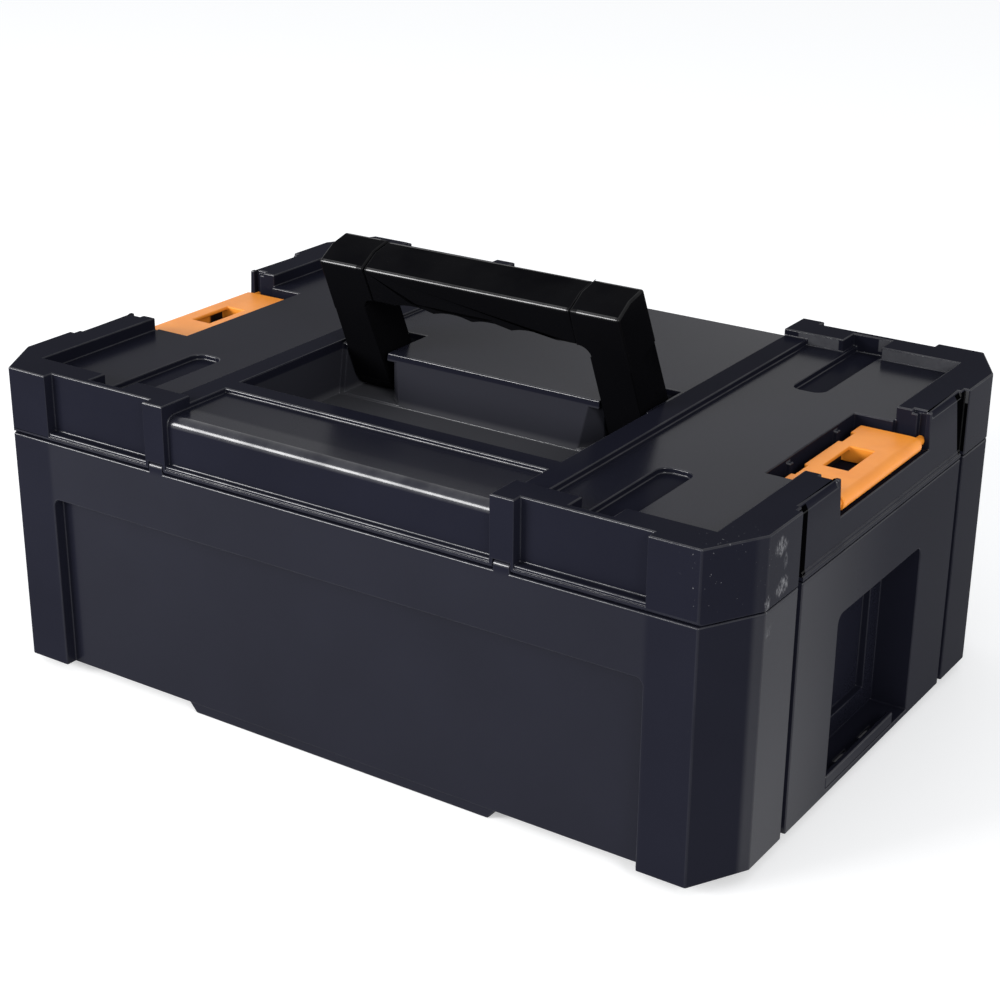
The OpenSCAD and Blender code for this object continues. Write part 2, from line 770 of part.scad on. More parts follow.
// Latch of the right side: a windowed plate whose nose turns round the pivot
module stack_latch() {
    half = stack_len / 2;
    translate([stack_x, 0, parting + stack_z]) difference() {
        union() {
            rod_y(-half, half, nose_r);
            span(-stack_reach, 0, -half, half, -nose_r, nose_r);
            rod_y(-half - trunnion_l, half + trunnion_l, trunnion_r);
        }
        window_x = -stack_reach / 2 + window_shift;
        span(window_x - window_w / 2, window_x + window_w / 2, -window_l / 2, window_l / 2, -past, past);
        hollow = window_w / 2 + window_hollow;
        span(
            window_x - hollow, window_x + hollow, -window_l / 2, window_l / 2,
            -past, nose_r - window_skin
        );
        both_y() span(
            -stack_reach - merge, -stack_reach + notch_depth,
            notch_y - notch_w / 2, notch_y + notch_w / 2, -past, past
        );
    }
}

module stack_latch_right() color(orange) stack_latch();
module stack_latch_left() color(orange) mirror([1, 0, 0]) stack_latch();

// ---- Front latches ----

// Latch with its lip hooked over the lid's catch, round its own pivot
module front_latch_body() {
    half = catch_w / 2;
    plate_in = catch_plate_in - catch_y;
    plate_out = catch_r;
    hook_z = catch_drop + bead_h + move_gap;
    top = hook_z + catch_lip + catch_tab;
    difference() {
        union() {
            rod_x(-half, half, catch_r);
            span(-half, half, plate_in, plate_out, 0, top);
            // Hooked lip, which ends clear of the panel behind it
            span(
                -half, half, plate_in - catch_out, plate_in + merge, hook_z, hook_z + catch_lip
            );
            // Finger tab, tapering outwards
            along_x(-catch_tab_w / 2, catch_tab_w / 2) polygon([
                [plate_out - merge, top - catch_tab_slope - catch_tab_out],
                [plate_out + catch_tab_out, top - catch_tab_out],
                [plate_out + catch_tab_out, top], [plate_out - merge, top]
            ]);
        }
        rod_x(-half - merge, half + merge, catch_pin_r + pin_gap);
    }
}

module front_latch(s) color(black)
    translate([s * panel_mid, catch_y, catch_z]) rotate([-catch_lean, 0, 0]) front_latch_body();

module front_latch_left() { front_latch(-1); }
module front_latch_right() { front_latch(1); }

module front_latch_pin(s) color(steel)
    translate([s * panel_mid, catch_y, catch_z])
        rod_x(-catch_bay - catch_pin_in + move_gap, catch_bay + catch_pin_in - move_gap, catch_pin_r);

module front_latch_pin_left() { front_latch_pin(-1); }
module front_latch_pin_right() { front_latch_pin(1); }

// ---- Handle ----

// Handle pieces are drawn standing on the pivot and then leant over
module in_handle() {
    translate([0, pivot_y, pivot_z]) rotate([handle_lean, 0, 0]) children();
}

grip_z = handle_l - grip_h;

// Grip with scallops for the fingers and a tenon at each end
module handle_grip() color(deep_black) in_handle() difference() {
    union() {
        along_x(-grip_half, grip_half) translate([0, grip_z])
            crowned(grip_d - 2 * grip_set, grip_h - grip_set, grip_crown, grip_r);
        mid = grip_z + grip_h / 2;
        span(
            -grip_half - tenon_l, grip_half + tenon_l, -tenon_s / 2, tenon_s / 2,
            mid - tenon_s / 2, mid + tenon_s / 2
        );
    }
    scallop_r = (scallop_pitch * scallop_pitch / 4 + scallop_depth * scallop_depth) / (2 * scallop_depth);
    for (i = [0 : scallops - 1])
        translate([(i - (scallops - 1) / 2) * scallop_pitch, 0, grip_z + scallop_depth - scallop_r])
            rod_y(-grip_d, grip_d, scallop_r);
    both_x() screw_place() rod_y(-screw_len, 0, screw_r);
}

// Axis of a cap screw, at the face under its head
module screw_place() {
    translate([grip_half + tenon_l / 2, grip_d / 2 - screw_seat, grip_z + grip_h / 2]) children();
}

// Front outline of the right arm: leg and cap with a round inner corner
module arm_outline() {
    out = handle_w / 2;
    in = out - leg_t;
    r = min(corner_r, in - grip_half);
    difference() {
        polygon([
            [in, -foot_r], [out, -foot_r], [out, crease_h], [out - crease_in, handle_l],
            [grip_half, handle_l], [grip_half, grip_z], [in - r, grip_z],
            [in - r, grip_z - r], [in, grip_z - r]
        ]);
        translate([in - r, grip_z - r]) circle(r);
    }
}

// Side outline of an arm: round foot and crowned top
module arm_profile() {
    crowned(grip_d, handle_l, grip_crown, grip_r);
    circle(foot_r);
}

module handle_arm() difference() {
    intersection() {
        along_y(-grip_d, grip_d) arm_outline();
        along_x(0, handle_w / 2) arm_profile();
    }
    mid = grip_z + grip_h / 2;
    socket = tenon_s / 2 + cap_gap;
    span(grip_half - merge, grip_half + tenon_l + cap_gap, -socket, socket, mid - socket, mid + socket);
    screw_place() {
        rod_y(-screw_len, 0, screw_r + cap_gap);
        rod_y(0, past, screw_head_r + cap_gap);
    }
    rod_x(0, handle_w, pivot_r + pin_gap);
}

module handle_arm_right() color(deep_black) in_handle() handle_arm();
module handle_arm_left() color(deep_black) in_handle() mirror([1, 0, 0]) handle_arm();

// Screws that hold the caps on the grip's tenons
module handle_screws() color(steel) in_handle() both_x() screw_place() {
    rod_y(-screw_len + merge, 0, screw_r);
    rod_y(0, screw_head_t, screw_head_r);
}

module handle_pin() translate([0, pivot_y, pivot_z]) {
    rod_x(pocket_in - wall, pocket_out + wall, pivot_r);
    rod_x(pocket_out + wall, pocket_out + wall + pivot_head_t, pivot_head_r);
}

module handle_pin_right() color(steel) handle_pin();
module handle_pin_left() color(steel) mirror([1, 0, 0]) handle_pin();

base_shell();
shelf_upstands();
lid_shell();
hinge_rod();
stack_latch_left();
stack_latch_right();
front_latch_left();
front_latch_right();
front_latch_pin_left();
front_latch_pin_right();
handle_grip();
handle_arm_left();
handle_arm_right();
handle_screws();
handle_pin_left();
handle_pin_right();
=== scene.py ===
"""Stackable hard tool case: visual pieces, finishes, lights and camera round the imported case."""

import math
from functools import cached_property

import bmesh
import bpy
from mathutils import Matrix, Vector


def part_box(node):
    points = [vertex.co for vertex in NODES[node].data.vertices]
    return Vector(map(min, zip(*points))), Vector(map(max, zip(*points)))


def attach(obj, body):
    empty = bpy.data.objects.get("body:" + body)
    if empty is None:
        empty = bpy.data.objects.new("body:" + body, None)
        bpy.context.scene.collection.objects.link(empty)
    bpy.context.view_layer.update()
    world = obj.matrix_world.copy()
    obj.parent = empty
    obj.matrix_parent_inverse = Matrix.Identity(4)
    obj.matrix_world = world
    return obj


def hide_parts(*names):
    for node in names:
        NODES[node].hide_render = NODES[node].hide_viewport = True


bl_info = {
    "name": "Stackable Tool Case",
    "version": (1, 0, 0),
    "blender": (4, 5, 0),
    "location": "3D View > Sidebar > Tool Case",
    "description": "Builds the shells, handle, latches and fittings of a stackable tool case",
    "category": "Object",
}

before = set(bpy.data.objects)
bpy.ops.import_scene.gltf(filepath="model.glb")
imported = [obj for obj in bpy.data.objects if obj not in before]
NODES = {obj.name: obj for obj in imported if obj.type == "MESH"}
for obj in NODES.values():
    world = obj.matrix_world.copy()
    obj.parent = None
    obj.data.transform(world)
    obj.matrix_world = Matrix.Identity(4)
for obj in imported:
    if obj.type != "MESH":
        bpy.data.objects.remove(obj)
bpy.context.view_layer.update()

MM = 0.001


# ---- Meshes ----

# Points of a CAD mesh closer than this are one, and faces flatter than this are one
SAME_PLACE = 0.002 * MM
SAME_PLANE = math.radians(0.3)
# Least turn of an edge that is rounded, and of two facets of one curved surface
SHARP = math.radians(28)
FACET = math.radians(1)
# Width under which a face between such edges is a facet
FACET_WIDTH = 1.2 * MM
# Least rounding that is made
LEAST_ROUNDING = 0.12 * MM
# Share of the free room that one rounding may take
ROOM_SHARE = 0.45
# Turn past which the next edge runs on and leaves all the room
RUNS_ON = math.radians(150)
# Least cosine between edges that limit each other across a face, and the share of an edge's
# length at each end where the other may lie without limiting it
PARALLEL = 0.9
EDGE_ENDS = 0.02
# Length below which an edge has no direction
NO_LENGTH = 1e-7
# Material slot that the bevel gives its faces
ROUNDING_SLOT = 1
# How far up a rounding's normal points where its painted highlight starts, and over how much it
# grows
UP_FROM = 0.02
UP_OVER = 0.25
# Share of the painted highlight that a rounding keeps where it doesn't face up, or the hinge side
HIGHLIGHT_ASIDE = 0.2
HIGHLIGHT_AWAY = 0.35
# Least part of its normal that points up on a level face, or to the hinge side on a fore face
LEVEL_NORMAL = 0.9
FORE_NORMAL = 0.7


def merged_mesh(node):
    """A bmesh copy of a CAD node, with doubles merged and flat areas made single faces."""
    mesh = bmesh.new()
    mesh.from_mesh(NODES[node].data)
    bmesh.ops.remove_doubles(mesh, verts=mesh.verts, dist=SAME_PLACE)
    bmesh.ops.dissolve_limit(mesh, angle_limit=SAME_PLANE, verts=mesh.verts, edges=mesh.edges)
    return mesh


def room_along(edge, start, other):
    """How far the rounding of edge may reach at its end start along the edge other."""
    along = (edge.other_vert(start).co - start.co).normalized()
    aside = other.other_vert(start).co - start.co
    length = aside.length
    if length < NO_LENGTH:
        return 0.0
    turn = along.angle(aside / length)
    if turn > RUNS_ON:
        return math.inf
    return length * ROOM_SHARE * math.sin(turn)


def room_across(edge, face):
    """How far the rounding of edge may reach across face before it meets an opposite edge."""
    a, b = edge.verts[0].co, edge.verts[1].co
    along = b - a
    length = along.length
    along = along / length
    room = math.inf
    for other in face.edges:
        if other is edge or set(other.verts) & set(edge.verts):
            continue
        c, d = other.verts[0].co, other.verts[1].co
        parallel = abs((d - c).normalized().dot(along)) >= PARALLEL
        low, high = sorted(((c - a).dot(along), (d - a).dot(along)))
        beside = high >= length * EDGE_ENDS and low <= length * (1 - EDGE_ENDS)
        if parallel and beside:
            gap = (c - a) - (c - a).dot(along) * along
            room = min(room, gap.length * ROOM_SHARE)
    return room


def mark_roundings(mesh, width):
    """Gives each sharp edge a bevel weight, smaller where there is little room for a rounding."""
    weight = mesh.edges.layers.float.new("bevel_weight_edge")
    for edge in mesh.edges:
        if len(edge.link_faces) != 2 or edge.calc_length() < NO_LENGTH:
            continue
        if edge.calc_face_angle(0.0) < SHARP:
            continue
        room = width
        for face in edge.link_faces:
            room = min(room, room_across(edge, face))
            for vert in edge.verts:
                for other in vert.link_edges:
                    if other is not edge and face in other.link_faces:
                        room = min(room, room_along(edge, vert, other))
        if room >= LEAST_ROUNDING:
            edge[weight] = room / width
        else:
            edge.smooth = False


def rounded_piece(name, node, material, width, segments=2):
    """A plain mesh object of a CAD node's shape, with rounded edges and shading to match."""
    mesh = merged_mesh(node)
    mark_roundings(mesh, width)
    for face in mesh.faces:
        face.smooth = True
        face.material_index = ROUNDING_SLOT if on_rounding(face) else 0
    low, high = corners_of(mesh)
    data = bpy.data.meshes.new(name)
    mesh.to_mesh(data)
    mesh.free()
    obj = bpy.data.objects.new(name, data)
    bpy.context.scene.collection.objects.link(obj)
    bevel = obj.modifiers.new("Rounding", "BEVEL")
    bevel.limit_method = "WEIGHT"
    bevel.width = width
    bevel.segments = segments
    bevel.use_clamp_overlap = False
    bevel.miter_outer = "MITER_SHARP"
    bevel.material = ROUNDING_SLOT
    shade = obj.modifiers.new("Shading", "WEIGHTED_NORMAL")
    shade.keep_sharp = True
    shade.weight = 50
    data.materials.append(material)
    data.materials.append(material)
    obj = applied(obj)
    keep_inside(obj.data, low, high)
    mark_faces(obj.data)
    return obj


def on_rounding(face):
    """Whether a face is one of the narrow facets of a curved CAD surface."""
    longest = max(edge.calc_length() for edge in face.edges)
    turns = [edge.calc_face_angle(0.0) for edge in face.edges if len(edge.link_faces) == 2]
    curved = any(FACET < turn < SHARP for turn in turns)
    return curved and face.calc_area() < longest * FACET_WIDTH


def corners_of(mesh):
    """Lowest and highest corner of a bmesh."""
    places = [vert.co for vert in mesh.verts]
    return (
        [min(place[axis] for place in places) for axis in range(3)],
        [max(place[axis] for place in places) for axis in range(3)],
    )


def keep_inside(data, low, high):
    """Brings the tips of sharp bevel corners back inside the box of the CAD shape."""
    for vert in data.vertices:
        for axis in range(3):
            vert.co[axis] = min(max(vert.co[axis], low[axis]), high[axis])


def mark_faces(data):
    """Stores what the finishes read of each face, and drops the bevel's own material slot.

    The attribute edge says how much painted highlight a rounding gets, as pale colour and extra
    coat: most on those that face up and to the hinge side, where the lamps' highlights fall. The
    attribute level marks the other faces that face up, and fore those that face the hinge side.
    """
    edge, level, fore = (
        data.attributes.new(name, "FLOAT", "FACE") for name in ("edge", "level", "fore")
    )
    for face, edge_highlight, flat, front in zip(data.polygons, edge.data, level.data, fore.data):
        x, y, z = face.normal
        upward = min(max((z - UP_FROM) / UP_OVER, 0.0), 1.0)
        hinge_side = max(-y / max(math.hypot(x, y), 1e-6), 0.0)
        # Painted highlight: most on the roundings that face up and to the hinge side, towards the
        # lamps
        highlight_share = HIGHLIGHT_ASIDE + (1 - HIGHLIGHT_ASIDE) * upward
        highlight_share *= HIGHLIGHT_AWAY + (1 - HIGHLIGHT_AWAY) * hinge_side
        rounding = face.material_index == ROUNDING_SLOT
        edge_highlight.value = highlight_share if rounding else 0.0
        flat.value = 1.0 if z > LEVEL_NORMAL and not rounding else 0.0
        front.value = 1.0 if -y > FORE_NORMAL and not rounding else 0.0
        face.material_index = 0
    data.materials.pop()


def applied(obj):
    """The object with its modifiers turned into a plain mesh."""
    bpy.context.view_layer.update()
    evaluated = obj.evaluated_get(bpy.context.evaluated_depsgraph_get())
    data = bpy.data.meshes.new_from_object(evaluated)
    obj.modifiers.clear()
    old = obj.data
    obj.data = data
    data.name = obj.name
    bpy.data.meshes.remove(old)
    return obj


# The screws' inputs and their kinds of socket
SCREW_INPUTS = {
    "Count": "Int",
    "Spacing": "Float",
    "Head Radius": "Float",
    "Head Height": "Float",
    "Shank Radius": "Float",
    "Shank Length": "Float",
    "Recess Width": "Float",
    "Tilt": "Float",
    "Place": "Vector",
    "Material": "Material",
}
# Sides of a screw's round parts
SCREW_SIDES = 32
# Middle of the shank in shares of its length, just short of half so that its top is in the head
SHANK_MIDDLE = -0.499


def screws_tree():
    """A node group that makes cross-head screws in a row along X, each on its own axis."""
    tree = bpy.data.node_groups.new("Cross Head Screws", "GeometryNodeTree")
    tree.interface.new_socket("Geometry", in_out="OUTPUT", socket_type="NodeSocketGeometry")
    for name, kind in SCREW_INPUTS.items():
        tree.interface.new_socket(name, in_out="INPUT", socket_type="NodeSocket" + kind)
    given = tree.nodes.new("NodeGroupInput").outputs

    def add(kind, inputs, settings=None):
        """Output of a new node, after its settings and the values or links of its inputs."""
        node = tree.nodes.new(kind)
        for key, value in (settings or {}).items():
            setattr(node, key, value)
        for key, value in inputs.items():
            for one in value if isinstance(value, list) else [value]:
                if isinstance(one, bpy.types.NodeSocket):
                    tree.links.new(one, node.inputs[key])
                else:
                    node.inputs[key].default_value = one
        return node.outputs[0]

    def times(value, factor):
        return add("ShaderNodeMath", {0: value, 1: factor}, {"operation": "MULTIPLY"})

    def upward(height):
        return add("ShaderNodeCombineXYZ", {"Z": height})

    def rod(radius, length, middle):
        sizes = {"Vertices": SCREW_SIDES, "Radius": radius, "Depth": length}
        mesh = add("GeometryNodeMeshCylinder", sizes)
        return add("GeometryNodeTransform", {"Geometry": mesh, "Translation": upward(middle)})

    def bar(long_axis):
        sides = {"X": given["Recess Width"], "Y": given["Recess Width"], "Z": given["Head Height"]}
        sides[long_axis] = given["Head Radius"]
        mesh = add("GeometryNodeMeshCube", {"Size": add("ShaderNodeCombineXYZ", sides)})
        height = upward(given["Head Height"])
        return add("GeometryNodeTransform", {"Geometry": mesh, "Translation": height})

    head = rod(given["Head Radius"], given["Head Height"], times(given["Head Height"], 0.5))
    below = times(given["Shank Length"], SHANK_MIDDLE)
    shank = rod(given["Shank Radius"], given["Shank Length"], below)
    cut = add(
        "GeometryNodeMeshBoolean",
        {"Mesh 1": head, "Mesh 2": [bar("X"), bar("Y")]},
        {"operation": "DIFFERENCE"},
    )
    screw = add("GeometryNodeJoinGeometry", {"Geometry": [cut, shank]})
    line = add(
        "GeometryNodeMeshLine",
        {
            "Count": given["Count"],
            "Start Location": add("ShaderNodeCombineXYZ", {"X": times(given["Spacing"], -0.5)}),
            "Offset": add("ShaderNodeCombineXYZ", {"X": given["Spacing"]}),
        },
    )
    turned = add("ShaderNodeCombineXYZ", {"X": given["Tilt"]})
    row = add(
        "GeometryNodeInstanceOnPoints", {"Points": line, "Instance": screw, "Rotation": turned}
    )
    placed = add("GeometryNodeTransform", {"Geometry": row, "Translation": given["Place"]})
    real = add("GeometryNodeRealizeInstances", {"Geometry": placed})
    steel = add("GeometryNodeSetMaterial", {"Geometry": real, "Material": given["Material"]})
    tree.links.new(steel, tree.nodes.new("NodeGroupOutput").inputs[0])
    return tree


def screw_row(name, values):
    """A plain mesh object of screws, from the node group at the given values."""
    tree = screws_tree()
    obj = bpy.data.objects.new(name, bpy.data.meshes.new(name))
    bpy.context.scene.collection.objects.link(obj)
    modifier = obj.modifiers.new("Screws", "NODES")
    modifier.node_group = tree
    for socket in tree.interface.items_tree:
        if socket.in_out == "INPUT":
            modifier[socket.identifier] = values[socket.name]
    return applied(obj)


def paint_node(node, material):
    """Gives a CAD node's object a better material."""
    obj = NODES[node]
    if not obj.material_slots:
        obj.data.materials.append(None)
    for place in obj.material_slots:
        place.link = "OBJECT"
        place.material = material


# ---- Materials ----


class Reading:
    """A number in a node tree; Python's operators add the Math nodes."""

    def __init__(self, finish, socket):
        self.finish = finish
        self.socket = socket

    def math(self, operation, *others):
        """The reading that a Math node gives for this reading and the others."""
        node = self.finish.node("ShaderNodeMath", {"operation": operation}, [self, *others])
        return Reading(self.finish, node.outputs[0])

    def reflected(self, operation, other):
        """The same with a plain number in the first place."""
        node = self.finish.node("ShaderNodeMath", {"operation": operation}, [other, self])
        return Reading(self.finish, node.outputs[0])

    def __add__(self, other):
        return self.math("ADD", other)

    __radd__ = __add__

    def __mul__(self, other):
        return self.math("MULTIPLY", other)

    __rmul__ = __mul__

    def __sub__(self, other):
        return self.math("SUBTRACT", other)

    def __rsub__(self, other):
        return self.reflected("SUBTRACT", other)

    def __truediv__(self, other):
        return self.math("DIVIDE", other)

    def __rtruediv__(self, other):
        return self.reflected("DIVIDE", other)

    def __pow__(self, other):
        return self.math("POWER", other)

    def __abs__(self):
        return self.math("ABSOLUTE")

    def rising(self, low, high):
        """0 below low, 1 above high, with a smooth rise between them."""
        node = self.finish.node(
            "ShaderNodeMapRange", {"interpolation_type": "SMOOTHSTEP"}, [self, low, high, 0.0, 1.0]
        )
        return Reading(self.finish, node.outputs[0])

    def falling(self, low, high):
        """1 below low, 0 above high."""
        return 1.0 - self.rising(low, high)

    def within(self, low, high, fade):
        """1 between low and high, fading to 0 outside."""
        return self.rising(low - fade, low) * self.falling(high, high + fade)


class Finish:
    """A material made of nodes, with a Principled shader at its end."""

    def __init__(self, name):
        self.material = bpy.data.materials.new(name)
        self.material.use_nodes = True
        self.tree = self.material.node_tree
        self.shader = next(n for n in self.tree.nodes if n.type == "BSDF_PRINCIPLED")
        self.place = self.node("ShaderNodeTexCoord").outputs["Object"]
        split = self.node("ShaderNodeSeparateXYZ", {}, [self.place])
        self.x, self.y, self.z = (Reading(self, s) for s in split.outputs)

    @cached_property
    def hingeward(self):
        """Distance from the middle of the case towards its hinge side."""
        return 0.0 - self.y

    def node(self, kind, settings=None, inputs=()):
        """Adds a node of the type, with its settings, then the values or links of its sockets."""
        node = self.tree.nodes.new(kind)
        for key, value in (settings or {}).items():
            setattr(node, key, value)
        pairs = inputs.items() if isinstance(inputs, dict) else enumerate(inputs)
        for key, value in pairs:
            self.feed(node.inputs[key], value)
        return node

    def feed(self, socket, value):
        """Links a reading or a socket to the socket, or sets a plain value on it."""
        if isinstance(value, Reading):
            value = value.socket
        if isinstance(value, bpy.types.NodeSocket):
            self.tree.links.new(value, socket)
        else:
            socket.default_value = value

    def noise(self, scale, detail=2.0, rough=0.5, stretch=(1, 1, 1), distortion=0.0):
        """Noise on the object's own coordinates, its scale in cycles per metre."""
        mapping = self.node("ShaderNodeMapping", {}, {"Vector": self.place, "Scale": stretch})
        node = self.node(
            "ShaderNodeTexNoise",
            {},
            {
                "Vector": mapping.outputs[0],
                "Scale": scale,
                "Detail": detail,
                "Roughness": rough,
                "Distortion": distortion,
            },
        )
        return Reading(self, node.outputs[0])

    def attribute(self, name):
        """A number stored on the mesh."""
        node = self.node("ShaderNodeAttribute", {"attribute_name": name})
        return Reading(self, node.outputs["Fac"])

    def mixed(self, share, first, second):
        """A colour between two colours."""
        node = self.node("ShaderNodeMix", {"data_type": "RGBA"})
        self.feed(node.inputs[0], share)
        self.feed(node.inputs[6], first)
        self.feed(node.inputs[7], second)
        return node.outputs[2]

    def bumps(self, *layers):
        """Normal from heights in metres, each with its strength."""
        normal = None
        for height, strength in layers:
            node = self.node(
                "ShaderNodeBump", {}, {"Strength": strength, "Distance": 1.0, "Height": height}
            )
            if normal is not None:
                self.feed(node.inputs["Normal"], normal)
            normal = node.outputs[0]
        return normal

    def finish(self, constants, varying):
        """Sets the shader's plain values and links what changes over the surface."""
        for name, value in constants.items():
            self.shader.inputs[name].default_value = value
        for name, value in varying.items():
            self.feed(self.shader.inputs[name], value)
        return self.material


def tone(colour, share=1.0):
    """An opaque colour, a share as bright as the given one."""
    return [part * share for part in colour] + [1]


# Pale colour of real rubs and dust, also used for the painted highlight on roundings and for
# painted light
PALE_RUB_AND_LIGHT = tone((0.2, 0.2, 0.21))
NO_LIGHT = tone((0.001, 0.001, 0.0012))
# Black painted as shade on the lower walls of the latches' windows
WINDOW_SHADE_BLACK = tone((0.006, 0.006, 0.007))

# Where the finish of tub and lid changes. Each pair is a stretch in metres over which a mask
# rises, or between whose ends it holds: heights above the floor, or distances from the middle
# across (X) or towards the hinge side.
LID_START = (0.133, 0.137)
LOW_WALL = (0.03, 0.13)
LID_FIELDS = (0.1634, 0.1663)
FIELDS_ACROSS = (-0.16, 0.14)
HINGE_STRIP = (0.136, 0.14)
POST_HINGEWARD = (0.12, 0.125)
POST_ACROSS = (0.176, 0.18)
SHORT_SIDE = (0.216, 0.218)
HINGE_END = (-0.02, 0.13)

# Coat weights of the areas, or what they add to or take from the areas that they lie on
PLAIN_GLOSS = 0.04
FIELD_GLOSS = 0.1
FIELD_GLOSS_RIGHT = 0.2
STRIP_GLOSS = 0.12
WALL_GLOSS = 0.17
POST_LOSS = 0.14
SIDE_LOSS = 0.08
HINGE_END_GLOSS = 0.32
LOW_WALL_GLOSS = 0.12
LID_SIDE_GLOSS = 0.14


def shell_sheen(f):
    """How glossy each area of tub and lid is: the lid's fields and the tub's walls the most."""
    level = f.attribute("level")
    fields = level * f.z.within(*LID_FIELDS, 0.4 * MM)
    field = FIELD_GLOSS + f.x.rising(*FIELDS_ACROSS) * FIELD_GLOSS_RIGHT
    strip = fields * f.hingeward.rising(*HINGE_STRIP)
    tub = f.z.falling(*LID_START)
    side = abs(f.x).rising(*SHORT_SIDE)
    posts = f.hingeward.rising(*POST_HINGEWARD) * abs(f.x).rising(*POST_ACROSS) * (1.0 - side)
    hinge_end = HINGE_END_GLOSS + f.z.falling(*LOW_WALL) * LOW_WALL_GLOSS
    on_side = f.hingeward.rising(*HINGE_END) * hinge_end - SIDE_LOSS
    wall = WALL_GLOSS - posts * POST_LOSS + side * on_side
    lid_side = side * (1.0 - tub) * (1.0 - level) * LID_SIDE_GLOSS
    whole = PLAIN_GLOSS + fields * field + strip * STRIP_GLOSS + tub * wall + lid_side
    # No coat in the painted shade of the lid's upright grooves
    return whole * (1.0 - painted_groove_shade(f))


# The grooves of the lid's short sides: their heights, depths, width, where their nearer side
# stands at the foot, how much that leans in with the height, and where they end
GROOVE_HEIGHTS = (0.138, 0.1703)
GROOVE_DEPTHS = (0.213, 0.2194)
GROOVE_WIDTH = 0.02
GROOVE_START = 0.0888
GROOVE_LEAN = 0.1
GROOVE_END = (0.096, 0.0962)


def painted_groove_shade(f):
    """Painted shade in the upright grooves of the lid's short sides: black colour and no coat
    there.
    """
    start = GROOVE_START - (f.z - GROOVE_HEIGHTS[0]) * GROOVE_LEAN
    past_start = (abs(f.y) - start).within(0.0, GROOVE_WIDTH, 0.2 * MM)
    across = past_start * abs(f.y).falling(*GROOVE_END)
    depth = abs(f.x).within(*GROOVE_DEPTHS, 0.3 * MM)
    return across * depth * f.z.within(*GROOVE_HEIGHTS, 0.4 * MM)


# The handle's well: where its sides, its length towards the hinge side and its heights end, where
# its floor ends, and the painted sheen on its walls and what its floor has more
WELL_ACROSS = (0.13, 0.135)
WELL_LENGTH = (-0.07, 0.134)
WELL_HEIGHTS = (0.1365, 0.1625)
WELL_FLOOR = (0.139, 0.143)
WELL_WALL_SHEEN = 0.08
WELL_FLOOR_SHEEN = 0.2


def well_painted_sheen(f):
    """Painted sheen in the handle's well: pale colour, most on its floor."""
    inside = abs(f.x).falling(*WELL_ACROSS) * f.hingeward.within(*WELL_LENGTH, 1 * MM)
    below = f.z.within(*WELL_HEIGHTS, 0.6 * MM)
    return inside * below * (WELL_WALL_SHEEN + f.z.falling(*WELL_FLOOR) * WELL_FLOOR_SHEEN)


# The hollows of the tub's short sides: how far in they lie, their tops and ends, and how much
# less painted highlight their roundings get in the hollows' shade
HOLLOW_ACROSS = (0.15, 0.2155)
HOLLOW_TOP = (0.1, 0.11)
HOLLOW_END = (0.08, 0.09)
HOLLOW_LOSS = 0.85


def shell_edge_highlight(f):
    """How much painted highlight the roundings of tub and lid get: little in the shaded hollows of
    the sides.
    """
    sunk = abs(f.x).within(*HOLLOW_ACROSS, 1 * MM) * f.z.falling(*HOLLOW_TOP)
    return 1.0 - sunk * abs(f.y).falling(*HOLLOW_END) * HOLLOW_LOSS


# The seams between grip and caps and the caps' ends, as distances across, and how much less
# painted highlight they get
CAP_SEAMS = (0.0612, 0.067)
CAP_ENDS = (0.0885, 0.0895)
SEAM_LOSS = 0.8
CAP_END_LOSS = 0.55


def handle_edge_highlight(f):
    """How much painted highlight the handle's roundings get: less at the caps' seams and ends."""
    seams = abs(f.x).within(*CAP_SEAMS, 0.5 * MM)
    ends = abs(f.x).rising(*CAP_ENDS)
    return 1.0 - seams * SEAM_LOSS - ends * CAP_END_LOSS


# Oval rubs on the right short side near the lid's chamfered corner: distance towards the hinge
# side, height, half width, half height and strength
RUBS = (
    (0.1165, 0.1625, 0.0085, 0.0065, 1.0),
    (0.1115, 0.1535, 0.003, 0.006, 0.8),
    (0.1135, 0.1425, 0.009, 0.0065, 1.0),
    (0.1265, 0.139, 0.003, 0.006, 1.0),
    (0.124, 0.1235, 0.005, 0.007, 0.6),
)
RUBBED_SIDE = (0.2186, 0.2194)
# The corner with the specks: across, towards the hinge side and up
SPECKS_ACROSS = (0.19, 0.2)
SPECKS_HINGEWARD = (0.115, 0.125)
SPECKS_HEIGHT = (0.14, 0.145)
# Inner walls of the far rims: heights, distance away from the hinge side, and the stretches
# across on both sides of the slots' mouths
RIM_WALLS = (0.1642, 0.171)
FAR_RIMS = (0.08, 0.09)
BEFORE_SLOT = (0.106, 0.1298)
PAST_SLOT = (0.147, 0.1475)


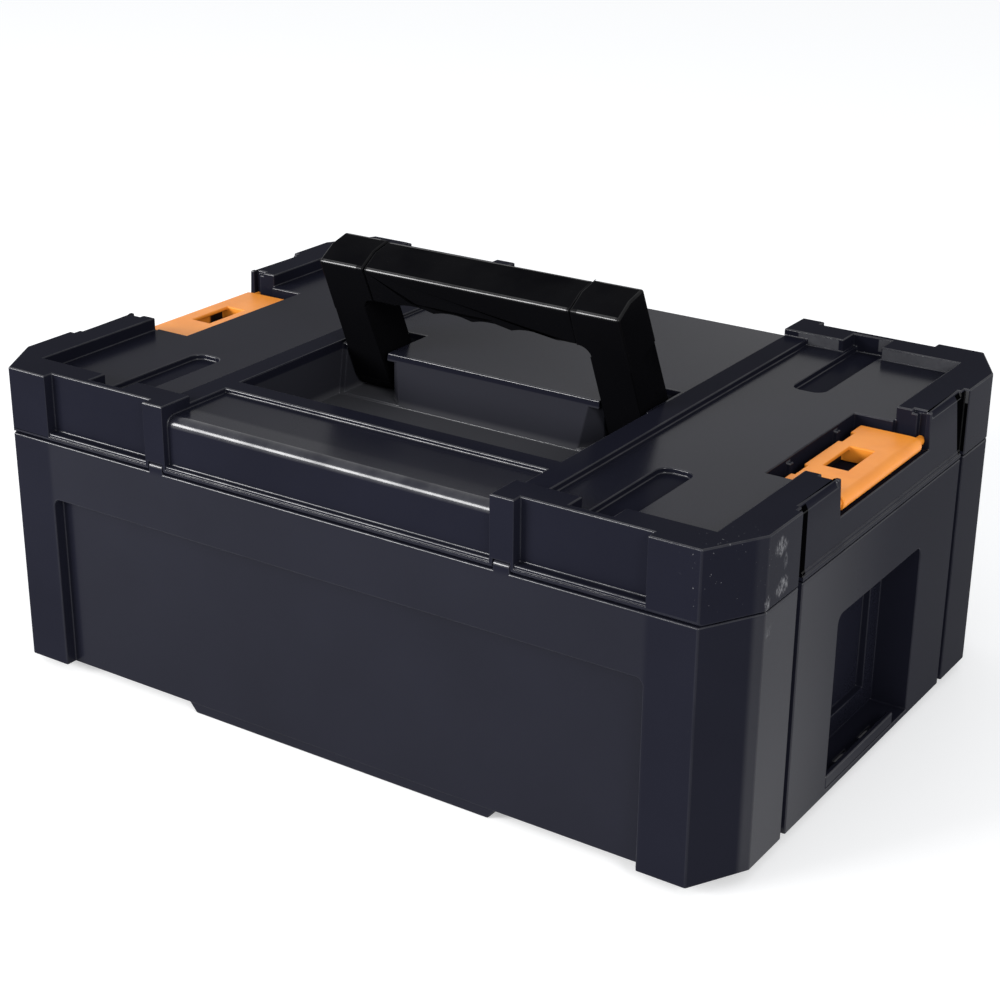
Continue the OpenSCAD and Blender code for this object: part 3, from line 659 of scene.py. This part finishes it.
def shell_scuffs_and_lit_walls(f):
    """Whitish rubs near the lid's chamfered corner, a few specks, and painted light on the inner
    walls of the far rims.
    """
    cloud = f.noise(260, 6, 0.75, (1, 1, 0.6), 0.5)
    grit = f.noise(700, 4, 0.75, (1, 1, 0.5)).rising(0.4, 0.62)

    def rub(place, height, wide, high, strength):
        """One oval rub, broken up by the noise and fading to 0 at its rim."""
        off = ((f.hingeward - place) / wide) ** 2.0 + ((f.z - height) / high) ** 2.0
        mark = off.falling(0.1, 1.0) * strength
        return (cloud + mark * 0.3).rising(0.62, 0.82) * mark

    rubs = f.x.rising(*RUBBED_SIDE) * sum(rub(*values) for values in RUBS) * grit
    corner = f.x.rising(*SPECKS_ACROSS) * f.hingeward.rising(*SPECKS_HINGEWARD)
    corner = corner * f.z.rising(*SPECKS_HEIGHT)
    specks = corner * f.noise(760, 2, 0.4).rising(0.72, 0.76)
    # Painted light: the inner walls of the far rims face the hinge side and tilt up, so they are
    # painted pale where they catch the light
    beside_slot = abs(f.x).within(*BEFORE_SLOT, 0.3 * MM) + abs(f.x).rising(*PAST_SLOT)
    inner = f.attribute("fore") * f.y.rising(*FAR_RIMS) * beside_slot
    painted_wall_light = inner * f.z.within(*RIM_WALLS, 0.4 * MM) * (0.6 + cloud * 0.8)
    return rubs * 0.8 + specks * 0.5 + painted_wall_light * 0.3


def moulded_plastic(f, colour, rough, grain, sheen, edge_highlight, scuffs_and_painted_light, shade):
    """Black polypropylene with a fine eroded grain, rubs and a little dust; its roundings get a
    painted highlight and extra coat, and it takes painted light and painted shade where its masks
    say.
    """
    cloud = f.noise(14, 3)
    patch = f.noise(60, 4, 0.6)
    fine = f.noise(900, 2, 0.6)
    spark = f.noise(2600, 2, 0.6)
    edge = f.attribute("edge") * edge_highlight
    uneven = f.noise(38, 4, 0.65).rising(0.32, 0.62)
    base = f.mixed(cloud, tone(colour, 0.8), tone(colour, 1.2))
    # Painted shade: the colour goes to black where shade is 1
    base = f.mixed(shade, base, NO_LIGHT)
    dust = f.noise(1500, 1, 0.4).rising(0.76, 0.8) * patch.rising(0.5, 0.7)
    # Real dust, and a painted highlight: pale colour on the roundings, most where they face up and
    # to the hinge side
    wear_and_painted_light = f.mixed(dust * 0.12 + edge * uneven * 0.03, base, PALE_RUB_AND_LIGHT)
    return f.finish(
        {"Specular IOR Level": 0.0, "Coat Roughness": 0.2},
        {
            # Pale colour for the real rubs and specks, and also painted light where the shell's
            # mask gives it
            "Base Color": f.mixed(scuffs_and_painted_light, wear_and_painted_light, PALE_RUB_AND_LIGHT),
            "Roughness": rough + (patch - 0.5) * 0.1 + (cloud - 0.5) * 0.08,
            "Coat Weight": sheen * (0.9 + fine * 0.2) + edge * (0.6 + uneven * 0.4),
            "Normal": f.bumps((fine, grain * 0.00004), (spark, grain * 0.00003), (patch, 0.00012)),
        },
    )


# The window of a stack latch: its half width, the top of its lower walls, and where its inner
# and outer wall stand; the outer one gets the painted shade on the far half alone
WINDOW_HALF = (0.01502, 0.01504)
WINDOW_WALLS_TOP = (0.1581, 0.1583)
WINDOW_INNER = (0.1874, 0.1876)
WINDOW_OUTER = (0.2084, 0.2086)
FAR_HALF = (0.003, 0.005)


def window_painted_shade(f):
    """Painted shade on the lower walls of the latch's window, which are painted black."""
    slot = abs(f.y).falling(*WINDOW_HALF) * f.z.falling(*WINDOW_WALLS_TOP)
    inner = abs(f.x).within(*WINDOW_INNER, 0.1 * MM)
    outer = abs(f.x).within(*WINDOW_OUTER, 0.1 * MM) * f.y.rising(*FAR_HALF)
    return slot * (inner + outer)


def orange_plastic(name, colour):
    """Orange polypropylene, satin, with slight flow marks, a deeper tone in patches, and painted
    shade on the lower walls of its window.
    """
    f = Finish(name)
    cloud = f.noise(45, 3)
    flow = f.noise(160, 4, 0.6, (0.4, 1.4, 1))
    fine = f.noise(1400, 2, 0.6)
    deep = [colour[0] * 0.9, colour[1] * 0.84, colour[2] * 0.75, 1]
    base = f.mixed(cloud.rising(0.3, 0.75), tone(colour), deep)
    marks = f.noise(420, 5, 0.7, (1, 0.3, 1)).rising(0.64, 0.74)
    wear_and_painted_light = f.mixed(marks * 0.22, base, tone(colour, 0.55))
    # Painted shade: the lower walls of the window are painted black
    wear_and_painted_light = f.mixed(window_painted_shade(f), wear_and_painted_light, WINDOW_SHADE_BLACK)
    roughness = 0.42 + (flow - 0.5) * 0.12 + (fine - 0.5) * 0.06
    normal = f.bumps((fine, 0.00003), (flow, 0.0001))
    return f.finish(
        {"Specular IOR Level": 0.35},
        {"Base Color": wear_and_painted_light, "Roughness": roughness, "Normal": normal},
    )


def plain_steel(name):
    """Drawn steel of the rods, pins and screws."""
    f = Finish(name)
    drawn = f.noise(900, 3, 0.6, (0.02, 1, 1))
    patch = f.noise(90, 3)
    base = f.mixed(patch, tone((0.42, 0.42, 0.44)), tone((0.62, 0.62, 0.63)))
    return f.finish(
        {"Metallic": 1.0},
        {
            "Base Color": base,
            "Roughness": 0.3 + (drawn - 0.5) * 0.2 + (patch - 0.5) * 0.1,
            "Normal": f.bumps((drawn, 0.00004)),
        },
    )


# Light that the floor gives by itself, which takes it to white in the picture
FLOOR_GLOW = 0.42


def floor_paint(name, grey):
    """Pale floor that shows white to the camera and keeps the soft shadow."""
    f = Finish(name)
    mottle = f.noise(3, 2)
    colour = f.mixed(mottle, [grey, grey, grey, 1], [grey * 0.99, grey * 0.99, grey * 0.985, 1])
    return f.finish(
        {
            "Specular IOR Level": 0.0,
            "Emission Color": (1, 1, 1, 1),
            "Emission Strength": FLOOR_GLOW,
        },
        {"Base Color": colour, "Roughness": 0.9 + mottle * 0.05},
    )


# ---- Settings ----


class CaseSizes(bpy.types.PropertyGroup):
    """Sizes that finish the case's shapes."""

    shell_rounding: bpy.props.FloatProperty(
        name="Shell Rounding",
        description="Width of the rounded edges of tub and lid",
        default=0.00075,
        min=0.0002,
        max=0.0012,
        unit="LENGTH",
    )
    handle_rounding: bpy.props.FloatProperty(
        name="Handle Rounding",
        description="Width of the rounded edges of the handle",
        default=0.0012,
        min=0.0003,
        max=0.002,
        unit="LENGTH",
    )
    latch_rounding: bpy.props.FloatProperty(
        name="Latch Rounding",
        description="Width of the rounded edges of the latches",
        default=0.0007,
        min=0.0002,
        max=0.0012,
        unit="LENGTH",
    )
    screw_head: bpy.props.FloatProperty(
        name="Screw Head",
        description="Radius of the cap screws' heads",
        default=0.0036,
        min=0.002,
        max=0.004,
        unit="LENGTH",
    )
    screw_head_height: bpy.props.FloatProperty(
        name="Screw Head Height",
        description="Height of the cap screws' heads",
        default=0.0022,
        min=0.001,
        max=0.003,
        unit="LENGTH",
    )
    screw_shank: bpy.props.FloatProperty(
        name="Screw Shank",
        description="Radius of the cap screws' shanks",
        default=0.0018,
        min=0.001,
        max=0.002,
        unit="LENGTH",
    )
    screw_recess: bpy.props.FloatProperty(
        name="Screw Recess",
        description="Width of the cross in the cap screws' heads",
        default=0.0009,
        min=0.0004,
        max=0.0015,
        unit="LENGTH",
    )
    screw_lean: bpy.props.FloatProperty(
        name="Screw Lean",
        description="Slope of the cap screws, which lean with the handle at rest",
        default=math.radians(23.5),
        subtype="ANGLE",
    )


class CaseFinishes(bpy.types.PropertyGroup):
    """Colours and gloss of the case's materials."""

    shell_colour: bpy.props.FloatVectorProperty(
        name="Shell Colour",
        description="Colour of tub and lid",
        default=(0.0097, 0.0101, 0.0168),
        subtype="COLOR",
        min=0,
        max=1,
    )
    handle_colour: bpy.props.FloatVectorProperty(
        name="Handle Colour",
        description="Colour of the handle",
        default=(0.0033, 0.0033, 0.004),
        subtype="COLOR",
        min=0,
        max=1,
    )
    latch_colour: bpy.props.FloatVectorProperty(
        name="Latch Colour",
        description="Colour of the stack latches",
        default=(0.92, 0.31, 0.03),
        subtype="COLOR",
        min=0,
        max=1,
    )
    shell_roughness: bpy.props.FloatProperty(
        name="Shell Roughness",
        description="Roughness of tub and lid",
        default=0.42,
        min=0.1,
        max=0.9,
        subtype="FACTOR",
    )


class StageSettings(bpy.types.PropertyGroup):
    """Camera and floor."""

    azimuth: bpy.props.FloatProperty(
        name="Azimuth",
        description="Direction that the camera looks from, round the case",
        default=math.radians(33.58),
        subtype="ANGLE",
    )
    elevation: bpy.props.FloatProperty(
        name="Elevation",
        description="Height of the camera above the horizon",
        default=math.radians(22.65),
        subtype="ANGLE",
    )
    roll: bpy.props.FloatProperty(
        name="Roll",
        description="Tilt of the camera about its own axis",
        default=math.radians(0.49),
        subtype="ANGLE",
    )
    camera_place: bpy.props.FloatVectorProperty(
        name="Camera Place",
        description="Position of the camera",
        default=(0.55273, -0.83528, 0.50942),
        subtype="TRANSLATION",
        unit="LENGTH",
    )
    lens: bpy.props.FloatProperty(
        name="Lens", description="Focal length in millimetres", default=72.22, min=20, max=200
    )
    floor_tone: bpy.props.FloatProperty(
        name="Floor Tone",
        description="Grey level of the floor",
        default=0.8,
        min=0.2,
        max=1,
        subtype="FACTOR",
    )


def sizes():
    """The case's sizes, as the panel shows them."""
    return bpy.context.scene.case_sizes


def finishes():
    """The case's colours and gloss, as the panel shows them."""
    return bpy.context.scene.case_finishes


def shell_material():
    """The finish of tub, lid and front latches, made once."""
    found = bpy.data.materials.get("black_shell_plastic")
    if found:
        return found
    f = Finish("black_shell_plastic")
    return moulded_plastic(
        f,
        finishes().shell_colour,
        rough=finishes().shell_roughness,
        grain=1.0,
        sheen=shell_sheen(f),
        edge_highlight=shell_edge_highlight(f),
        scuffs_and_painted_light=shell_scuffs_and_lit_walls(f) + well_painted_sheen(f),
        # Real rubs and specks, with painted light on the far rims' inner walls and a painted sheen
        # in the handle's well
        shade=painted_groove_shade(f),
    # Painted shade in the lid's upright grooves
    )


def handle_material():
    """The blacker, smoother finish of the handle, made once."""
    found = bpy.data.materials.get("black_handle_plastic")
    if found:
        return found
    f = Finish("black_handle_plastic")
    return moulded_plastic(
        f,
        finishes().handle_colour,
        rough=0.34,
        grain=0.5,
        sheen=f.noise(30, 3).rising(0.3, 0.7) * 0.04,
        edge_highlight=handle_edge_highlight(f),
        scuffs_and_painted_light=0.0,
        shade=0.0,
    )


def latch_material():
    """The orange finish, made once."""
    found = bpy.data.materials.get("orange_latch_plastic")
    return found or orange_plastic("orange_latch_plastic", finishes().latch_colour)


def steel_material():
    """The steel finish, made once."""
    return bpy.data.materials.get("plain_steel") or plain_steel("plain_steel")


def mounted(obj, body, place, *nodes):
    """Makes a piece move with its body and hides the CAD nodes that it stands for; place, the name
    of its finish, is not used.
    """
    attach(obj, body)
    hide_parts(*nodes)
    return obj


# ---- Operators ----


class CASE_OT_tub(bpy.types.Operator):
    """Build the moulded tub with rounded edges"""

    bl_idname = "case.tub"
    bl_label = "Tub"

    def execute(self, context):
        for name, node in (("tub", "base_shell"), ("shelf_edges", "shelf_upstands")):
            piece = rounded_piece(name, node, shell_material(), sizes().shell_rounding)
            mounted(piece, "base", "shell", node)
        return {"FINISHED"}


class CASE_OT_lid(bpy.types.Operator):
    """Build the moulded lid with rounded edges"""

    bl_idname = "case.lid"
    bl_label = "Lid"

    def execute(self, context):
        lid = rounded_piece("lid", "lid_shell", shell_material(), sizes().shell_rounding)
        mounted(lid, "lid", "shell", "lid_shell")
        return {"FINISHED"}


class CASE_OT_handle(bpy.types.Operator):
    """Build the carrying handle: grip, arms, pivot pins and cap screws"""

    bl_idname = "case.handle"
    bl_label = "Handle"

    def execute(self, context):
        for node in ("handle_grip", "handle_arm_left", "handle_arm_right"):
            name = node.replace("handle_", "carry_")
            width = sizes().handle_rounding
            piece = rounded_piece(name, node, handle_material(), width, segments=3)
            mounted(piece, "handle", "handle", node)
        for node in ("handle_pin_left", "handle_pin_right"):
            paint_node(node, steel_material())
        mounted(cap_screws(), "handle", "steel", "handle_screws")
        return {"FINISHED"}


def cap_screws():
    """The two screws of the caps, in the box of the CAD screws and leaning with the handle."""
    low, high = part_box("handle_screws")
    case = sizes()
    lean = case.screw_lean
    out = Vector((0, math.cos(lean), math.sin(lean)))
    top = Vector((0, high[1] - case.screw_head * out.z, high[2] - case.screw_head * out.y))
    bottom_y = low[1] + case.screw_shank * out.z
    return screw_row(
        "cap_screws",
        {
            "Count": 2,
            "Spacing": high[0] - low[0] - 2 * case.screw_head,
            "Head Radius": case.screw_head,
            "Head Height": case.screw_head_height,
            "Shank Radius": case.screw_shank,
            "Shank Length": (top.y - bottom_y) / out.y - case.screw_head_height,
            "Recess Width": case.screw_recess,
            "Tilt": lean - math.pi / 2,
            "Place": top - out * case.screw_head_height,
            "Material": steel_material(),
        },
    )


class CASE_OT_stack_latches(bpy.types.Operator):
    """Build the two orange latches that hold a second case"""

    bl_idname = "case.stack_latches"
    bl_label = "Stack Latches"

    def execute(self, context):
        for side, body in (("left", "stack_latch_l"), ("right", "stack_latch_r")):
            node = "stack_latch_" + side
            width = sizes().latch_rounding
            piece = rounded_piece("orange_latch_" + side, node, latch_material(), width)
            mounted(piece, body, "latch", node)
        return {"FINISHED"}


class CASE_OT_front_latches(bpy.types.Operator):
    """Build the latches of the opening side, their pins and the hinge rod"""

    bl_idname = "case.front_latches"
    bl_label = "Front Latches"

    def execute(self, context):
        for side, body in (("left", "front_latch_l"), ("right", "front_latch_r")):
            node = "front_latch_" + side
            width = sizes().latch_rounding
            piece = rounded_piece("catch_" + side, node, shell_material(), width)
            mounted(piece, body, "shell", node)
            paint_node("front_latch_pin_" + side, steel_material())
        paint_node("hinge_rod", steel_material())
        return {"FINISHED"}


class CASE_OT_stage(bpy.types.Operator):
    """Set the pale floor, the soft lamps, the world and the camera"""

    bl_idname = "case.stage"
    bl_label = "Stage"

    def execute(self, context):
        place_floor()
        place_lamps()
        light_world()
        place_camera()
        context.scene.view_settings.view_transform = "Standard"
        return {"FINISHED"}


# Half the width of the floor, and how far it lies below the case so that they don't touch
FLOOR_HALF = 6.0
FLOOR_DROP = 0.2 * MM


def place_floor():
    """A wide flat floor under the case."""
    mesh = bmesh.new()
    bmesh.ops.create_grid(mesh, x_segments=2, y_segments=2, size=FLOOR_HALF)
    data = bpy.data.meshes.new("floor")
    mesh.to_mesh(data)
    mesh.free()
    floor = bpy.data.objects.new("floor", data)
    floor.location.z = -FLOOR_DROP
    data.materials.append(floor_paint("pale_floor", bpy.context.scene.case_stage.floor_tone))
    bpy.context.scene.collection.objects.link(floor)


# Lamps: direction as seen from the case, distance, width and height, and power in watts
LAMPS = {
    "key": ((-0.56, -0.775, 0.293), 2.2, (1.0, 0.7), 46),
    "right": ((0.74, -0.48, 0.43), 2.2, (0.6, 0.6), 14),
}
# Height of the point that the lamps face, over the middle of the case
LAMPS_AIM = Vector((0, 0, 0.12))


def add_lamp(name, towards, distance, size, watts):
    """A soft rectangular lamp in the direction towards, seen from the case, facing it."""
    data = bpy.data.lights.new(name, "AREA")
    data.shape = "RECTANGLE"
    data.size, data.size_y = size
    data.energy = watts
    lamp = bpy.data.objects.new(name, data)
    aim = Vector(towards).normalized()
    lamp.location = aim * distance + LAMPS_AIM
    lamp.rotation_mode = "QUATERNION"
    lamp.rotation_quaternion = aim.to_track_quat("Z", "Y")
    lamp.visible_camera = False
    bpy.context.scene.collection.objects.link(lamp)


def place_lamps():
    """A wide key lamp and a smaller one at the right, which polished edges mirror."""
    for name, values in LAMPS.items():
        add_lamp(name, *values)


# Colour and strength of the light from all round, and of the white that stands for it
SKY = ((0.95, 0.97, 1.0, 1), 0.64)
BACKDROP = ((1, 1, 1, 1), 1.0)


def light_world():
    """Even soft light, which the camera and polished faces see as plain white."""
    world = bpy.data.worlds.new("studio")
    world.use_nodes = True
    bpy.context.scene.world = world
    tree = world.node_tree
    nodes, links = tree.nodes, tree.links
    background = next(n for n in nodes if n.type == "BACKGROUND")
    output = next(n for n in nodes if n.type == "OUTPUT_WORLD")
    paths = nodes.new("ShaderNodeLightPath")
    white = nodes.new("ShaderNodeBackground")
    mix = nodes.new("ShaderNodeMixShader")
    direct = nodes.new("ShaderNodeMath")
    direct.operation = "MAXIMUM"
    seen = nodes.new("ShaderNodeMath")
    seen.operation = "MAXIMUM"
    for node, (colour, strength) in ((background, SKY), (white, BACKDROP)):
        node.inputs["Color"].default_value = colour
        node.inputs["Strength"].default_value = strength
    for source, target in (
        (paths.outputs["Is Camera Ray"], direct.inputs[0]),
        (paths.outputs["Is Glossy Ray"], direct.inputs[1]),
        (direct.outputs[0], seen.inputs[0]),
        (paths.outputs["Is Transmission Ray"], seen.inputs[1]),
        (seen.outputs[0], mix.inputs[0]),
        (background.outputs[0], mix.inputs[1]),
        (white.outputs[0], mix.inputs[2]),
        (mix.outputs[0], output.inputs[0]),
    ):
        links.new(source, target)


def place_camera():
    """The camera at the photograph's place, angle and lens."""
    stage = bpy.context.scene.case_stage
    back = Vector(
        (
            math.sin(stage.azimuth) * math.cos(stage.elevation),
            -math.cos(stage.azimuth) * math.cos(stage.elevation),
            math.sin(stage.elevation),
        )
    )
    side = Vector((0, 0, 1)).cross(back).normalized()
    up = back.cross(side)
    turned_side = math.cos(stage.roll) * side + math.sin(stage.roll) * up
    turned_up = math.cos(stage.roll) * up - math.sin(stage.roll) * side
    data = bpy.data.cameras.new("camera")
    data.lens = stage.lens
    data.sensor_width = 36.0
    data.sensor_fit = "HORIZONTAL"
    camera = bpy.data.objects.new("camera", data)
    columns = Matrix((turned_side, turned_up, back)).transposed()
    camera.matrix_world = Matrix.Translation(stage.camera_place) @ columns.to_4x4()
    bpy.context.scene.collection.objects.link(camera)
    bpy.context.scene.camera = camera


class CASE_PT_panel(bpy.types.Panel):
    """The case's sizes, finishes and building steps"""

    bl_label = "Tool Case"
    bl_idname = "CASE_PT_panel"
    bl_space_type = "VIEW_3D"
    bl_region_type = "UI"
    bl_category = "Tool Case"

    def draw(self, context):
        layout = self.layout
        for group in GROUPS:
            settings = getattr(context.scene, group)
            box = layout.box()
            for key in settings.__annotations__:
                box.prop(settings, key)
        for step in STEPS:
            layout.operator(step.bl_idname)


GROUPS = {"case_sizes": CaseSizes, "case_finishes": CaseFinishes, "case_stage": StageSettings}
STEPS = (
    CASE_OT_tub,
    CASE_OT_lid,
    CASE_OT_handle,
    CASE_OT_stack_latches,
    CASE_OT_front_latches,
    CASE_OT_stage,
)


def register():
    for part in (*GROUPS.values(), *STEPS, CASE_PT_panel):
        bpy.utils.register_class(part)
    for name, group in GROUPS.items():
        setattr(bpy.types.Scene, name, bpy.props.PointerProperty(type=group))


def unregister():
    for name in GROUPS:
        delattr(bpy.types.Scene, name)
    for part in reversed((*GROUPS.values(), *STEPS, CASE_PT_panel)):
        bpy.utils.unregister_class(part)


def main():
    """Builds everything."""
    register()
    for step in STEPS:
        group, name = step.bl_idname.split(".")
        getattr(getattr(bpy.ops, group), name)()


if __name__ == "__main__":
    main()
